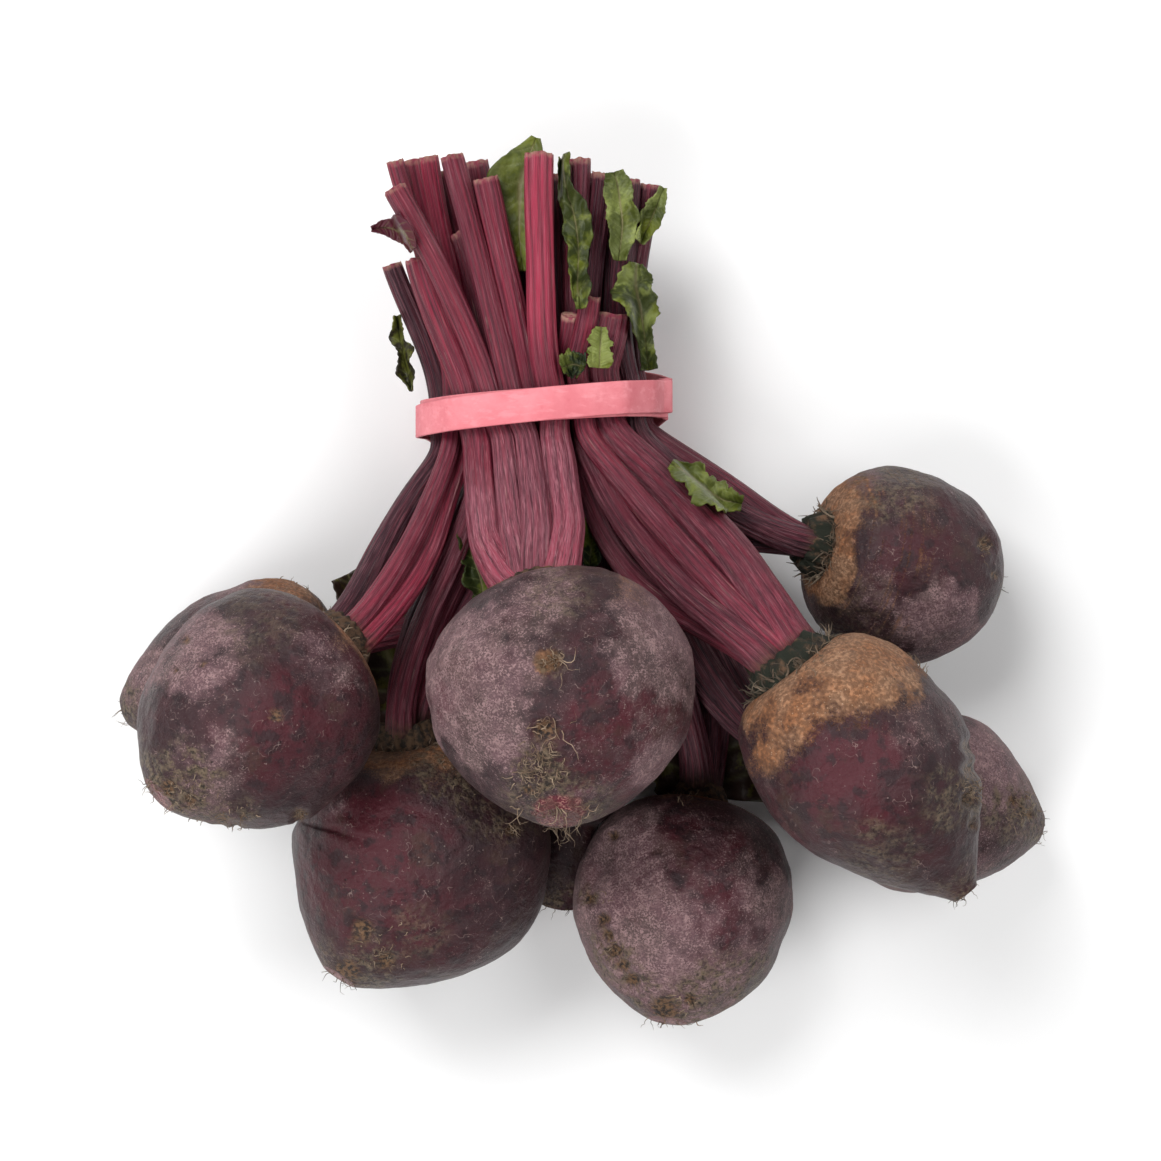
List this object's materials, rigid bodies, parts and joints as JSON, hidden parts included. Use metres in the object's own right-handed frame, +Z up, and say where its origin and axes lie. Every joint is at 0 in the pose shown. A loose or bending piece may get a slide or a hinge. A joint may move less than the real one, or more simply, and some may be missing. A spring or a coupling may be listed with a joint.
{
  "type": "bunch of beetroot",
  "caption": "Bunch of fresh beetroot lying on its side: round dark purple roots with trimmed crimson stalks held by a pink rubber band.",
  "frame": {"origin": "middle of the bunch's bounding box, on the surface that it lies on", "axes": "+Z up, +Y along the stalks towards their cut ends, +X to the right seen from above with the roots towards the viewer"},
  "size_m": [0.2751, 0.2578, 0.1244],
  "materials": {
    "beet_skin": "matt, earthy, with a dusty bloom and corky patches",
    "beet_stalk": "ribbed, softly glossy plant stalk",
    "beet_leaf": "thin waved leaf, softly glossy",
    "pink_rubber": "matt, slightly mottled"
  },
  "bodies": {
    "root": {"leaf_band_curl": "beet_leaf", "leaf_band_scrap": "beet_leaf", "leaf_big_blade": "beet_leaf", "leaf_left_curl": "beet_leaf", "leaf_left_scrap": "beet_leaf", "leaf_right_blade": "beet_leaf", "leaf_right_droop": "beet_leaf", "leaf_right_tongue": "beet_leaf", "leaf_stalk_scrap": "beet_leaf", "leaf_wavy_strip": "beet_leaf", "root_front": "beet_skin", "root_front_left": "beet_skin", "root_front_top": "beet_skin", "root_left_low": "beet_skin", "root_left_top": "beet_skin", "root_middle": "beet_skin", "root_right_back": "beet_skin", "root_right_low": "beet_skin", "root_right_top": "beet_skin", "rubber_band": "pink_rubber", "stalks_front": "beet_stalk", "stalks_front_left": "beet_stalk", "stalks_front_top": "beet_stalk", "stalks_left_low": "beet_stalk", "stalks_left_top": "beet_stalk", "stalks_middle": "beet_stalk", "stalks_right_back": "beet_stalk", "stalks_right_low": "beet_stalk", "stalks_right_top": "beet_stalk"}
  },
  "joints": []
}
